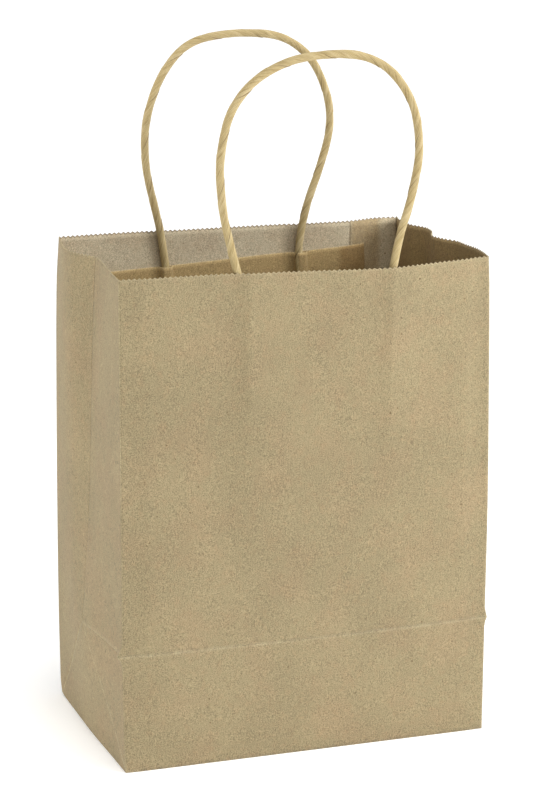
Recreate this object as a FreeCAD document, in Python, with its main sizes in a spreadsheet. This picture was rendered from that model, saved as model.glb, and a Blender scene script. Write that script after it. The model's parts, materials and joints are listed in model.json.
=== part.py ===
import FreeCAD, Part
import Sketcher
import math
import os

# Kraft paper gift bag: a self-opening sack folded from one sheet of paper, standing open.
# The sheet is split along its creases, so that each panel between two creases is a part.
# Millimetres. +X to the bag's right, +Y to the back, +Z up. The origin is on the floor,
# under the middle of the bag. Each handle is a twisted paper cord, glued between two
# paper patches on the inside of its wall.

doc = FreeCAD.newDocument("GiftBag")
sheet = doc.addObject("Spreadsheet::Sheet", "Sizes")

SIZES = [
    ("bag_width", 203.0, "outside width, 8 inches"),
    ("bag_depth", 130.0, "outside depth from front to back"),
    ("bag_height", 267.0, "height of the rim, 10.5 inches"),
    ("paper", 0.2, "thickness of the kraft paper"),
    ("crease_gap", 0.1, "clearance between two panels at a crease"),
    ("seam_width", 31.0, "glued lap that closes the sheet, inside the back"),
    ("flap_overlap", 12.0, "how far each bottom flap passes the middle"),
    ("patch_length", 151.0, "handle patch, along the wall"),
    ("patch_height", 44.0, "handle patch, up the wall"),
    ("cord_diameter", 4.2, "twisted paper cord"),
    ("cord_spacing", 79.0, "between the two legs of a handle"),
    ("glued_length", 40.0, "cord between the patches"),
    ("cord_stub", 0.3, "cord above the patch before it can bend"),
    ("glue_room", 0.15, "space between the cord and the patch over it"),
    ("back_patch_centre", 5.5, "middle of the back patch along X"),
    ("back_patch_level", 226.9, "middle of the back patch along Z"),
    ("back_patch_tilt", 3.0, "the back patch is glued on askew, in degrees"),
    ("back_handle_centre", 1.5, "middle of the back handle's legs along X"),
    ("front_patch_centre", 6.5, "middle of the front patch along X"),
    ("front_patch_level", 224.8, "middle of the front patch along Z"),
    ("front_patch_tilt", 0.0, "the front patch is straight, in degrees"),
    ("front_handle_centre", 6.5, "middle of the front handle's legs along X"),
]

for row, (alias, value, note) in enumerate(SIZES, start=1):
    sheet.set(f"A{row}", alias)
    sheet.set(f"B{row}", str(value))
    sheet.set(f"C{row}", note)
    sheet.setAlias(f"B{row}", alias)
doc.recompute()

SUB_PARTS = []

# Words used in the size expressions.
HALF_WIDTH = "Sizes.bag_width / 2"
HALF_DEPTH = "Sizes.bag_depth / 2"
PAPER = "Sizes.paper"
GAP = "Sizes.crease_gap"
BEHIND_FRONT = f"({HALF_DEPTH} - {PAPER} - {GAP})"
BEFORE_BACK = f"({HALF_DEPTH} - 2 * {PAPER} - {GAP})"
CORD_FROM_MIDDLE = f"({HALF_DEPTH} - 3 * {PAPER} - Sizes.cord_diameter / 2)"


def keep(part):
    """Count an object as a finished sub-part, to be written as its own file."""
    SUB_PARTS.append(part)
    return part


def place(part, x="0", y="0", z="0"):
    """Bind the object's position to the sheet."""
    for axis, value in (("x", x), ("y", y), ("z", z)):
        part.setExpression(f"Placement.Base.{axis}", value)
    return part


def box(label, low, size):
    """A rectangular piece of paper, from its low corner and its three sizes."""
    part = doc.addObject("Part::Box", label)
    part.Label = label
    for name, value in zip(("Length", "Width", "Height"), size):
        part.setExpression(name, value)
    return place(part, *low)


def rod(label, diameter, height, low):
    """An upright round bar, from the middle of its foot."""
    part = doc.addObject("Part::Cylinder", label)
    part.Label = label
    part.setExpression("Radius", f"{diameter} / 2")
    part.setExpression("Height", height)
    return place(part, *low)


def panel(label, plane, corners, low):
    """A many-sided piece of paper: a sketched outline, padded by the paper's thickness."""
    body = doc.addObject("PartDesign::Body", label)
    body.Label = label
    sketch = body.newObject("Sketcher::SketchObject", f"{label}_outline")
    origin_plane = [f for f in body.Origin.OriginFeatures if f.Role == plane][0]
    sketch.AttachmentSupport = [(origin_plane, "")]
    sketch.MapMode = "FlatFace"
    values = [[evaluate(word) for word in corner] for corner in corners]
    count = len(corners)
    for i in range(count):
        start = FreeCAD.Vector(*values[i], 0)
        end = FreeCAD.Vector(*values[(i + 1) % count], 0)
        sketch.addGeometry(Part.LineSegment(start, end), False)
    for i in range(count):
        sketch.addConstraint(Sketcher.Constraint("Coincident", i, 2, (i + 1) % count, 1))
    for i, corner in enumerate(corners):
        for kind, word, value in zip(("DistanceX", "DistanceY"), corner, values[i]):
            number = sketch.addConstraint(Sketcher.Constraint(kind, -1, 1, i, 1, value))
            sketch.setExpression(f"Constraints[{number}]", word)
    pad = body.newObject("PartDesign::Pad", f"{label}_thickness")
    pad.Profile = sketch
    pad.setExpression("Length", PAPER)
    body.Tip = pad
    return keep(place(body, *low))


def evaluate(word):
    """The present value of an expression on the sheet."""
    value = sheet.evalExpression(word.replace("Sizes.", ""))
    return float(getattr(value, "Value", value))


# --- the back wall -------------------------------------------------------------------

def back_wall():
    """The full-height back panel, and the lap of the side glued on inside it."""
    keep(box("back_panel", (f"-{HALF_WIDTH}", f"{HALF_DEPTH} - {PAPER}", "0"),
             ("Sizes.bag_width", PAPER, "Sizes.bag_height")))
    keep(box("seam_lap",
             (f"{HALF_WIDTH} - {PAPER} - Sizes.seam_width", f"{HALF_DEPTH} - 2 * {PAPER}",
              f"3 * {PAPER} + {GAP}"),
             ("Sizes.seam_width", PAPER, f"Sizes.bag_height - 3 * {PAPER} - {GAP}")))


# --- the sides -----------------------------------------------------------------------

def side(name, low):
    """One gusset: two tall panels that fold inwards, and two triangles at the foot."""
    rim = "Sizes.bag_height"
    level = HALF_DEPTH
    panel(f"{name}_gusset_back", "YZ_Plane",
          [(BEFORE_BACK, f"{level} - {BEFORE_BACK} + 1.5 * {GAP}"), (BEFORE_BACK, rim),
           (f"{GAP} / 2", rim), (f"{GAP} / 2", f"{level} + {GAP}")], (low, "0", "0"))
    panel(f"{name}_gusset_front", "YZ_Plane",
          [(f"-{GAP} / 2", f"{level} + {GAP} / 2"), (f"-{GAP} / 2", rim),
           (f"-{BEHIND_FRONT}", rim), (f"-{BEHIND_FRONT}", f"{level} + {GAP} / 2")],
          (low, "0", "0"))
    panel(f"{name}_front_triangle", "YZ_Plane",
          [(f"-{BEHIND_FRONT}", f"{level} - {BEHIND_FRONT} + 1.5 * {GAP}"),
           (f"-{BEHIND_FRONT}", f"{level} - {GAP} / 2"),
           (f"-2 * {GAP}", f"{level} - {GAP} / 2")], (low, "0", "0"))
    reach = f"({HALF_DEPTH} - 2 * {PAPER} - 2 * {GAP})"
    panel(f"{name}_bottom_triangle", "YZ_Plane",
          [(f"-{reach}", "0"), (reach, "0"), ("0", reach)], (low, "0", "0"))


# --- the front wall ------------------------------------------------------------------

def front_wall():
    """The front panel, in two at the crease that lets the bottom fold up over it."""
    keep(box("front_panel_upper",
             (f"-{HALF_WIDTH}", f"-{HALF_DEPTH}", f"{HALF_DEPTH} + {GAP} / 2"),
             ("Sizes.bag_width", PAPER, f"Sizes.bag_height - {HALF_DEPTH} - {GAP} / 2")))
    keep(box("front_panel_lower", (f"-{HALF_WIDTH}", f"-{HALF_DEPTH}", "0"),
             ("Sizes.bag_width", PAPER, f"{HALF_DEPTH} - {GAP} / 2")))


# --- the bottom ----------------------------------------------------------------------

def bottom():
    """Two triangular side folds, covered by a back flap and then by a front flap."""
    edge = f"({HALF_WIDTH} - {PAPER} - {GAP})"
    front = f"({HALF_DEPTH} - {PAPER} - {GAP})"
    for name, hand in (("left", "-"), ("right", "")):
        panel(f"bottom_{name}_fold", "XY_Plane",
              [(f"{hand}{edge}", f"-{front}"), (f"{hand}{edge}", front),
               (f"{hand}({edge} - {front})", "0")], ("0", "0", f"2 * {PAPER}"))
    short = f"({edge} - {front} - Sizes.flap_overlap)"
    panel("bottom_back_flap", "XY_Plane",
          [(f"-{edge}", front), (edge, front), (short, "-Sizes.flap_overlap"),
           (f"-{short}", "-Sizes.flap_overlap")], ("0", "0", PAPER))
    panel("bottom_front_flap", "XY_Plane",
          [(f"-{edge}", f"-{front}"), (edge, f"-{front}"), (short, "Sizes.flap_overlap"),
           (f"-{short}", "Sizes.flap_overlap")], ("0", "0", "0"))


# --- the handle patches and the glued ends of the cords ------------------------------

def patch(wall, inward):
    """A paper strip glued to the wall, a second strip over the cord ends, and the ends."""
    tilt = f"Sizes.{wall}_patch_tilt"
    centre = f"Sizes.{wall}_patch_centre"
    level = f"Sizes.{wall}_patch_level"
    legs = f"(Sizes.{wall}_handle_centre - {centre})"
    face = f"({HALF_DEPTH} - 3 * {PAPER})"
    foot = "-Sizes.patch_height / 2"
    # The strips are drawn about their own middle, with the wall's side at y = 0.
    base = box(f"{wall}_patch_base", ("0", "0", "0"),
               ("Sizes.patch_length", PAPER, "Sizes.patch_height"))
    half_length = "Sizes.patch_length / 2"
    half_height = "Sizes.patch_height / 2"
    turn = f"cos({tilt} * 1deg)"
    rise = f"sin({tilt} * 1deg)"
    base_y = face if inward < 0 else f"-{face} - {PAPER}"
    place(base, f"{centre} - {half_length} * {turn} + {half_height} * {rise}", base_y,
          f"{level} - {half_length} * {rise} - {half_height} * {turn}")
    lean(base, tilt)
    keep(base)

    strip_y = f"-{PAPER}" if inward < 0 else "0"
    strip = box(f"{wall}_cover_strip", (f"-{half_length}", strip_y, foot),
                ("Sizes.patch_length", PAPER, "Sizes.patch_height"))
    cord_y = f"{'-' if inward < 0 else ''}Sizes.cord_diameter / 2"
    solid = [strip]
    hollow = []
    for hand, name in ((-1, "left"), (1, "right")):
        leg_x = f"{legs} + {hand} * Sizes.cord_spacing / 2"
        room = "Sizes.cord_diameter + 2 * Sizes.glue_room"
        solid.append(rod(f"{wall}_{name}_ridge", f"({room} + 2 * {PAPER})",
                         "Sizes.patch_height", (leg_x, cord_y, foot)))
        hollow.append(rod(f"{wall}_{name}_room", f"({room})", "Sizes.patch_height + 2",
                          (leg_x, cord_y, f"{foot} - 1")))
    slab_y = "0" if inward < 0 else "-10"
    hollow.append(box(f"{wall}_wall_side", (f"-{half_length} - 1", slab_y, f"{foot} - 1"),
                      ("Sizes.patch_length + 2", "10", "Sizes.patch_height + 2")))
    joined = doc.addObject("Part::MultiFuse", f"{wall}_cover_solid")
    joined.Shapes = solid
    cut_away = doc.addObject("Part::MultiFuse", f"{wall}_cover_hollow")
    cut_away.Shapes = hollow
    cover = doc.addObject("Part::Cut", f"{wall}_patch_cover")
    cover.Label = f"{wall}_patch_cover"
    cover.Base = joined
    cover.Tool = cut_away
    place(cover, centre, face if inward < 0 else f"-{face}", level)
    lean(cover, tilt)
    keep(cover)

    for hand, name in ((-1, "left"), (1, "right")):
        leg = f"({legs} + {hand} * Sizes.cord_spacing / 2)"
        low = "(Sizes.patch_height / 2 - Sizes.glued_length)"
        y = f"{'' if inward < 0 else '-'}{CORD_FROM_MIDDLE}"
        end = rod(f"{wall}_handle_{name}_end", "Sizes.cord_diameter",
                  "Sizes.glued_length + Sizes.cord_stub - 0.05",
                  (f"{centre} + {leg} * {turn} - {low} * {rise}", y,
                   f"{level} + {leg} * {rise} + {low} * {turn}"))
        lean(end, tilt)
        keep(end)


def lean(part, tilt):
    """Turn the object in the plane of its wall, anticlockwise as seen from the front."""
    part.Placement.Rotation = FreeCAD.Rotation(FreeCAD.Vector(0, -1, 0), 1.0)
    part.setExpression("Placement.Rotation.Angle", tilt)
    part.setExpression("Placement.Rotation.Axis.y", "-1")


# --- the handles ---------------------------------------------------------------------

# The route of each cord above its patch, as X and Z in the plane of its wall.
BACK_ROUTE = [
    (-39.1, 247.9), (-43.5, 274.0), (-50.5, 300.5), (-51.0, 328.0), (-43.0, 355.0),
    (-25.0, 371.5), (4.0, 375.3), (32.0, 372.5), (51.0, 357.0), (60.0, 328.0),
    (54.0, 302.0), (43.5, 277.5), (39.8, 252.0),
]
FRONT_ROUTE = [
    (-33.0, 247.85), (-40.5, 274.5), (-46.5, 301.0), (-47.5, 328.0), (-39.5, 355.0),
    (-17.5, 371.5), (10.0, 375.5), (37.5, 373.0), (58.0, 354.0), (64.0, 328.0),
    (59.5, 301.0), (50.5, 275.0), (46.0, 247.85),
]
ARC_SHARE = 0.45


def cord(label, route, y):
    """A round tube along straight runs joined by arcs that touch both runs."""
    diameter = evaluate("Sizes.cord_diameter")
    points = [FreeCAD.Vector(x, y, z) for x, z in route]
    edges = []
    start = points[0]
    radii = []
    for before, corner, after in zip(points, points[1:], points[2:]):
        come = corner - before
        leave = after - corner
        shorter = min(come.Length, leave.Length)
        half_turn = come.getAngle(leave) / 2
        reach = ARC_SHARE * shorter
        radii.append(reach / math.tan(half_turn))
        come.normalize()
        leave.normalize()
        first = corner - come * reach
        last = corner + leave * reach
        to_middle = leave - come
        to_middle.normalize()
        centre = corner + to_middle * (radii[-1] / math.cos(half_turn))
        middle = centre - to_middle * radii[-1]
        edges.append(Part.LineSegment(start, first).toShape())
        edges.append(Part.Arc(first, middle, last).toShape())
        start = last
    edges.append(Part.LineSegment(start, points[-1]).toShape())
    path = Part.Wire(edges)
    first_run = points[1] - points[0]
    rim = Part.Wire([Part.makeCircle(diameter / 2, points[0], first_run)])
    tube = path.makePipeShell([rim], True, False)
    section = math.pi * diameter ** 2 / 4
    print(f"{label}: length {path.Length:.1f}, volume against section times length "
          f"{tube.Volume / (section * path.Length):.4f}")
    print("  arc radii " + ", ".join(f"{radius:.0f}" for radius in radii))
    part = doc.addObject("Part::Feature", label)
    part.Label = label
    part.Shape = tube
    keep(part)


def handles():
    """The free part of each cord, from patch to patch over the top."""
    middle = evaluate(CORD_FROM_MIDDLE)
    cord("back_handle", BACK_ROUTE, middle)
    cord("front_handle", FRONT_ROUTE, -middle)


# --- assembly ------------------------------------------------------------------------

back_wall()
side("left", f"-{HALF_WIDTH}")
side("right", f"{HALF_WIDTH} - {PAPER}")
front_wall()
bottom()
patch("back", -1)
patch("front", 1)
handles()
doc.recompute()

for thing in doc.Objects:
    for state in ("Invalid", "Error"):
        if state in thing.State:
            raise RuntimeError(f"{thing.Label} is {state}")
for part in SUB_PARTS:
    if part.Shape.isNull() or not part.Shape.isValid():
        raise RuntimeError(f"{part.Label} has no valid shape")

os.makedirs("parts", exist_ok=True)
for part in SUB_PARTS:
    part.Shape.exportStep(f"parts/{part.Label}.step")
print(len(SUB_PARTS), "sub-parts")
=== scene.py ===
import json
import math

import bpy
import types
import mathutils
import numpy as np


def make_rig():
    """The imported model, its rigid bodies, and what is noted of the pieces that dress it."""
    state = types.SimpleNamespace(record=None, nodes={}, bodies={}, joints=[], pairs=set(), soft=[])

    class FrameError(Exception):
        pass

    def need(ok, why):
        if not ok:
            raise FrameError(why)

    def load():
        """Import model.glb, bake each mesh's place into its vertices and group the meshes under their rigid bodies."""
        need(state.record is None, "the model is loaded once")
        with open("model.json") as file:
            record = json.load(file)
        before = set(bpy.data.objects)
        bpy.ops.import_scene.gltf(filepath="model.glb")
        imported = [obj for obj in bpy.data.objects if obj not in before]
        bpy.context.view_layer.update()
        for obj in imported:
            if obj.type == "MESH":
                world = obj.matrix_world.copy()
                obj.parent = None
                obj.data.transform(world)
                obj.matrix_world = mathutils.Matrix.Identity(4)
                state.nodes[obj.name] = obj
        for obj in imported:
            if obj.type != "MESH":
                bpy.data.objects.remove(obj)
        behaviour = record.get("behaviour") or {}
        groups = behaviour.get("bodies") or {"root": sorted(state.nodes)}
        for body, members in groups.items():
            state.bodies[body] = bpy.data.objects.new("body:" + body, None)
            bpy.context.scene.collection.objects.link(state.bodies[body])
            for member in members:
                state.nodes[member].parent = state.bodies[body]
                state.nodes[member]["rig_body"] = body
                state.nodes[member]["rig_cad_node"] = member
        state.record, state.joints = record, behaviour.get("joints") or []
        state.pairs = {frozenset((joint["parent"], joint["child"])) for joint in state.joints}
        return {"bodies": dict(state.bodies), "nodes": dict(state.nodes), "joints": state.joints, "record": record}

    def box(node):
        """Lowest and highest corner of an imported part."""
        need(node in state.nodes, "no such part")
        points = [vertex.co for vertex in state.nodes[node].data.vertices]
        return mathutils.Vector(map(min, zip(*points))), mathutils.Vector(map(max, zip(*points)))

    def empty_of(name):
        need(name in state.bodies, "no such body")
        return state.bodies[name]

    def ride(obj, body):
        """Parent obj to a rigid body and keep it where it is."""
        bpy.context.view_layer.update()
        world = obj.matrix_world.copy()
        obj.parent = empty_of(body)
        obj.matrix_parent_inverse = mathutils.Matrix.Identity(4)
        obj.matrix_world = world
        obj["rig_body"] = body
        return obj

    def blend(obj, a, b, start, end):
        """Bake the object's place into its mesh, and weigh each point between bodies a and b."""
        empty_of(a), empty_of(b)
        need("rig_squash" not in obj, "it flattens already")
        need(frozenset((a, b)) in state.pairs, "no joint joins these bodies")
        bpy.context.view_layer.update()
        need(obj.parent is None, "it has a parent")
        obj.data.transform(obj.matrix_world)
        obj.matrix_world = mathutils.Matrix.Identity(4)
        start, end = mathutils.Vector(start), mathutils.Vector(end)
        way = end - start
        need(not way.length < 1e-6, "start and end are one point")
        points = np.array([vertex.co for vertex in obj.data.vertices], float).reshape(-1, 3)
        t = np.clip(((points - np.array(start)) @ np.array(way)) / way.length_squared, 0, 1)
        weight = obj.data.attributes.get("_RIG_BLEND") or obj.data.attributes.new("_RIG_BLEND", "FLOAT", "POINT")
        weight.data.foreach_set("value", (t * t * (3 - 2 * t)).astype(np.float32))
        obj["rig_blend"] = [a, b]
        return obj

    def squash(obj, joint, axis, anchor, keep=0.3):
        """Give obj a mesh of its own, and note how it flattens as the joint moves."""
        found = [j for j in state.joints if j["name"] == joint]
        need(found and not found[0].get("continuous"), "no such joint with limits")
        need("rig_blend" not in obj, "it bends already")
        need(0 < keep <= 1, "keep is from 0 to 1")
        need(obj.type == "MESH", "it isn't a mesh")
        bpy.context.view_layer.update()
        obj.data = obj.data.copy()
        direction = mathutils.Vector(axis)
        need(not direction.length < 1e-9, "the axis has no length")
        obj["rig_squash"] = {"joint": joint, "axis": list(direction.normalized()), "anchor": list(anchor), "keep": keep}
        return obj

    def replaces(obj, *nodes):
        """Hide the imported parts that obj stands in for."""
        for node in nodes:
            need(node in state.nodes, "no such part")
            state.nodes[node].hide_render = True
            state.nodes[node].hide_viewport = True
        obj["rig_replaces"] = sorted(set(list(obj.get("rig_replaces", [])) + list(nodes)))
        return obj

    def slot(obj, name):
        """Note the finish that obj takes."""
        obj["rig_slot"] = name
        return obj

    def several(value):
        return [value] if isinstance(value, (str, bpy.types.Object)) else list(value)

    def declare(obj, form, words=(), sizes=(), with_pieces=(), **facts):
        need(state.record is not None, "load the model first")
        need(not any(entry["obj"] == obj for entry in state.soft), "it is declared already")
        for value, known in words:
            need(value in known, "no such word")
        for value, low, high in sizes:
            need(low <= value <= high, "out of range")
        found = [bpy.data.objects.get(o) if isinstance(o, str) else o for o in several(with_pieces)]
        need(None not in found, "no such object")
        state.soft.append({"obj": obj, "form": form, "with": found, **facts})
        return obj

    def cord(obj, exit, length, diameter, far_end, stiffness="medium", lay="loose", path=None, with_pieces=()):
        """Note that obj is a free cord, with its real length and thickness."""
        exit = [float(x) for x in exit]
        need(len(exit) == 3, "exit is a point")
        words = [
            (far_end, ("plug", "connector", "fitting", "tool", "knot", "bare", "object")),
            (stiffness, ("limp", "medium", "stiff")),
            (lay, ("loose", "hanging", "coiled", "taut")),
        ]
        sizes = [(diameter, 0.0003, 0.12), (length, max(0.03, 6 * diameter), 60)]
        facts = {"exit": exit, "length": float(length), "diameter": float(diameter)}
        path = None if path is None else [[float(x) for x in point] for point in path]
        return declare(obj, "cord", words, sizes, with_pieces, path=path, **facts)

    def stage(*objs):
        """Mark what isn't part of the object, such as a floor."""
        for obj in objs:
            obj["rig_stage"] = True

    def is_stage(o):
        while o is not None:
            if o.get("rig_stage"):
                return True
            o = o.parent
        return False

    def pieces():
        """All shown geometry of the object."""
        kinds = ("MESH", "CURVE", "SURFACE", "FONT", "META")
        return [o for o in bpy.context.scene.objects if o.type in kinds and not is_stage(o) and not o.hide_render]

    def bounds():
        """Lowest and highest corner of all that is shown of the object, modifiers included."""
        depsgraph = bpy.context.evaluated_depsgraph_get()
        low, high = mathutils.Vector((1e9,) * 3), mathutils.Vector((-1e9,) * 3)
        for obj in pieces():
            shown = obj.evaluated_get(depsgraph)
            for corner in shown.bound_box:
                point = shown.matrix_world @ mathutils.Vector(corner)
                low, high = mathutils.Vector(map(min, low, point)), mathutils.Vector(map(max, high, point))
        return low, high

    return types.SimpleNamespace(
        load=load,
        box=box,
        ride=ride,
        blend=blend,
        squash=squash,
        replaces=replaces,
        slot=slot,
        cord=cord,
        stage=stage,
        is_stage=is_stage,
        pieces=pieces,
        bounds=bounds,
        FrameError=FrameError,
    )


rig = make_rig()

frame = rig.load()
cad_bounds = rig.bounds()


# ---------------------------------------------------------------- the view
# The bag is seen from its left front, a little from above, through a long lens, as a bag on
# a table is from across a room. The lens fits the taller side of an upright frame.
AZIMUTH = math.radians(-18.956)
ELEVATION = math.radians(13.745)
DISTANCE = 1.45235
LOOK_AT = (0.00375, 0.0, 0.18064)
LENS_MM = 118.87

away = (
    math.sin(AZIMUTH) * math.cos(ELEVATION),
    -math.cos(AZIMUTH) * math.cos(ELEVATION),
    math.sin(ELEVATION),
)
camera_data = bpy.data.cameras.new("view")
camera_data.lens = LENS_MM
camera_data.sensor_width = 36.0
camera_data.clip_start = 0.05
camera_data.clip_end = 100.0
camera = bpy.data.objects.new("view", camera_data)
camera.location = [look + DISTANCE * step for look, step in zip(LOOK_AT, away)]
camera.rotation_euler = (math.pi / 2 - ELEVATION, 0.0, AZIMUTH)
bpy.context.scene.collection.objects.link(camera)
bpy.context.scene.camera = camera


# ---------------------------------------------------------------- the folded sheet
# The bag is one sheet of recycled kraft paper, 0.2 mm thick, cut with pinking blades at the
# rim, creased by machine and glued up as a self-opening sack. Standing open, its walls bow
# between the creases, and the side creases still fall in a little.
MM = 0.001
back_low, back_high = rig.box("back_panel")
HALF_WIDTH = back_high.x
HALF_DEPTH = back_high.y
RIM = back_high.z
FOLD_LEVEL = HALF_DEPTH
PAPER = back_high.y - back_low.y
TOOTH_PITCH = 2.7 * MM
TOOTH_DEPTH = 0.95 * MM

# Each table gives, along the rim in millimetres, how far the wall stands out of its plane.
FRONT_RIM = [(-101.5, 0.0), (-90.0, 1.0), (-60.0, 1.3), (-43.0, 1.9), (-32.0, 4.2),
             (0.0, 5.8), (36.0, 8.0), (46.0, 8.5), (66.0, 5.6), (84.0, 3.2), (101.5, 0.0)]
FRONT_BELLY = [(-101.5, 0.0), (-86.0, 2.2), (-60.0, 3.4), (0.0, 4.6), (60.0, 3.4),
               (86.0, 1.8), (101.5, 0.0)]
BACK_RIM = [(-101.5, 0.0), (-62.0, 1.6), (-28.0, -0.6), (28.0, -1.6), (40.0, -3.9),
            (52.0, -3.7), (70.0, -3.8), (87.0, 0.9), (101.5, 0.0)]
LEFT_RIM = [(-65.0, 0.0), (-46.0, -1.2), (-20.0, -3.6), (0.0, -4.6), (11.0, 0.4),
            (21.0, 4.2), (36.0, 4.4), (65.0, 0.0)]
RIGHT_RIM = [(-65.0, 0.0), (-44.0, 3.0), (-28.0, 2.2), (-18.0, 1.8), (-11.0, -1.6),
             (0.0, -4.8), (6.0, -3.4), (13.0, 0.2), (26.0, 2.2), (33.0, 0.0), (40.0, -2.6),
             (57.0, -2.0), (65.0, 0.0)]
# Each table gives, up a corner in millimetres, how far the corner stands to the right.
FRONT_LEFT_CORNER = [(0.0, -0.4), (40.0, -1.2), (150.0, -1.1), (267.0, -0.7)]
FRONT_RIGHT_CORNER = [(0.0, 1.5), (60.0, 2.0), (130.0, 2.5), (200.0, 1.8), (250.0, 1.0),
                      (267.0, 0.3)]
BACK_LEFT_CORNER = [(0.0, -1.6), (10.0, -2.4), (90.0, -2.5), (180.0, -1.5), (240.0, -0.2),
                    (267.0, 1.6)]
BACK_RIGHT_CORNER = [(0.0, 0.6), (120.0, 1.2), (267.0, -0.8)]


def smooth_table(table, value):
    """Read a table in millimetres along one smooth curve through its lines."""
    place = min(max(value / MM, table[0][0]), table[-1][0])
    last = len(table) - 1
    i = 0
    while i < last - 1 and place > table[i + 1][0]:
        i += 1
    slopes = []
    for k in (i, i + 1):
        before, after = table[max(k - 1, 0)], table[min(k + 1, last)]
        slopes.append((after[1] - before[1]) / (after[0] - before[0]))
    (low, first), (high, end) = table[i], table[i + 1]
    run = high - low
    t = (place - low) / run
    height = (first * (1 + 2 * t) * (1 - t) ** 2 + end * t * t * (3 - 2 * t)
              + run * t * (1 - t) * (slopes[0] * (1 - t) - slopes[1] * t))
    return height * MM


def mix(first, last, share):
    return first + (last - first) * share


def rise(z, foot, power):
    """Nought up to the height foot, then growing to one at the rim."""
    return max(0.0, (z - foot) / (RIM - foot)) ** power


def bump(value, middle, width):
    return math.exp(-(((value - middle) / width) ** 2))


# Where the front cord's glued ends lie, and how far each presses the wall out.
CORD_LEGS = [(-33.5 * MM, 1.4 * MM), (43.5 * MM, 1.6 * MM)]
RIDGE_WIDTH = 7.5 * MM
RIDGE_TOP = 0.8 * MM
BELLY_LEVEL = 130 * MM
CORNER_FADE = 12 * MM
FRONT_RIPPLE = 0.35 * MM
BACK_RIPPLE = 0.5 * MM
SIDE_BOW = 1.0 * MM
# Each side's two corners and rim, the power of its rise, its ear, and the bow of its foot.
LEFT_SIDE = (FRONT_LEFT_CORNER, BACK_LEFT_CORNER, LEFT_RIM, 0.70, 3.1 * MM, 3.3 * MM)
RIGHT_SIDE = (FRONT_RIGHT_CORNER, BACK_RIGHT_CORNER, RIGHT_RIM, 0.85, 1.4 * MM, 0.0)
RIM_DIP = 1.1 * MM
FRONT_FOOT_LIFT = 0.3 * MM
BACK_FOOT_LIFT = 1.3 * MM


def front_y(x, z):
    """The front wall. The glued cord ends press two soft ridges into it."""
    share = rise(z, foot=0.07, power=1.35)
    belly = math.sin(0.5 * math.pi * min(1.0, z / BELLY_LEVEL))
    out = mix(smooth_table(FRONT_BELLY, x) * belly, smooth_table(FRONT_RIM, x), share)
    for leg, height in CORD_LEGS:
        far = math.hypot(x - leg, RIDGE_TOP) - RIDGE_TOP
        out += height * math.exp(-far / RIDGE_WIDTH) * bump(z, middle=0.228, width=0.046)
    out += FRONT_RIPPLE * math.sin(x / 0.017 + z / 0.06) * math.sin(math.pi * z / RIM)
    edge = min(1.0, (HALF_WIDTH - abs(x)) / CORNER_FADE)
    return -HALF_DEPTH - out * max(0.0, edge)


def back_y(x, z):
    out = smooth_table(BACK_RIM, x) * rise(z, foot=0.10, power=1.6)
    out += BACK_RIPPLE * math.sin(x / 0.021 + 1.0) * math.sin(math.pi * z / RIM)
    edge = min(1.0, (HALF_WIDTH - abs(x)) / CORNER_FADE)
    return HALF_DEPTH + out * max(0.0, edge)


def ear(y, z):
    """A small ear of paper stands out where the front crease meets the corner."""
    return bump(z, FOLD_LEVEL + 0.5 * MM, 2.6 * MM) * bump(y, -HALF_DEPTH, 5.0 * MM)


def side_x(hand, y, z):
    """A side wall. Its crease falls inwards, and its back half bows outwards."""
    front, back, rim, power, ear_height, foot_bow = LEFT_SIDE if hand < 0 else RIGHT_SIDE
    share = (y + HALF_DEPTH) / (2 * HALF_DEPTH)
    shift = mix(smooth_table(front, z), smooth_table(back, z), share)
    out = smooth_table(rim, y) * rise(z, FOLD_LEVEL, power)
    out += SIDE_BOW * math.sin(math.pi * share) * math.sin(math.pi * z / RIM)
    out += ear_height * ear(y, z)
    out += foot_bow * bump(z, middle=0.060, width=0.048) * bump(y, middle=0.0, width=0.034)
    return hand * (HALF_WIDTH + out) + shift


def lift(x, y, z):
    """The foot is a little off the floor at its corners, and the front rim dips."""
    far = math.hypot(HALF_WIDTH - abs(x), HALF_DEPTH - abs(y))
    dip = 0.0
    if y < -0.06:
        dip = RIM_DIP * bump(x, middle=0.036, width=0.045) * rise(z, foot=0.20, power=1.5)
    height = BACK_FOOT_LIFT if y > 0 else FRONT_FOOT_LIFT
    return z + height * math.exp(-far / (5 * MM)) * max(0.0, 1 - z / (14 * MM)) - dip


def linear(hex_colour):
    """An sRGB hex colour as linear red, green, blue and alpha."""
    parts = [int(hex_colour[i:i + 2], 16) / 255 for i in (0, 2, 4)]
    return [p / 12.92 if p < 0.04045 else ((p + 0.055) / 1.055) ** 2.4 for p in parts] + [1.0]


# The nodes used most. A ramp's inputs are its value, where it starts and ends, and what it
# gives there. A mix takes the share of its second colour as 0, and its colours as 6 and 7.
MATH = "ShaderNodeMath"
RAMP = "ShaderNodeMapRange"
SMOOTH = "SMOOTHSTEP"
MIX = "ShaderNodeMix"
NOISE = "ShaderNodeTexNoise"
ATTRIBUTE = "ShaderNodeAttribute"


def add(tree, kind, inputs=None, **settings):
    """Add a node with its settings. An input takes a value, a socket, or a node's result."""
    node = tree.nodes.new(kind)
    for name, value in settings.items():
        setattr(node, name, value)
    for key, value in (inputs or {}).items():
        if isinstance(value, bpy.types.Node):
            value = next(socket for socket in value.outputs if socket.enabled)
        if isinstance(value, bpy.types.NodeSocket):
            tree.links.new(value, node.inputs[key])
        else:
            node.inputs[key].default_value = value
    return node


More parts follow.
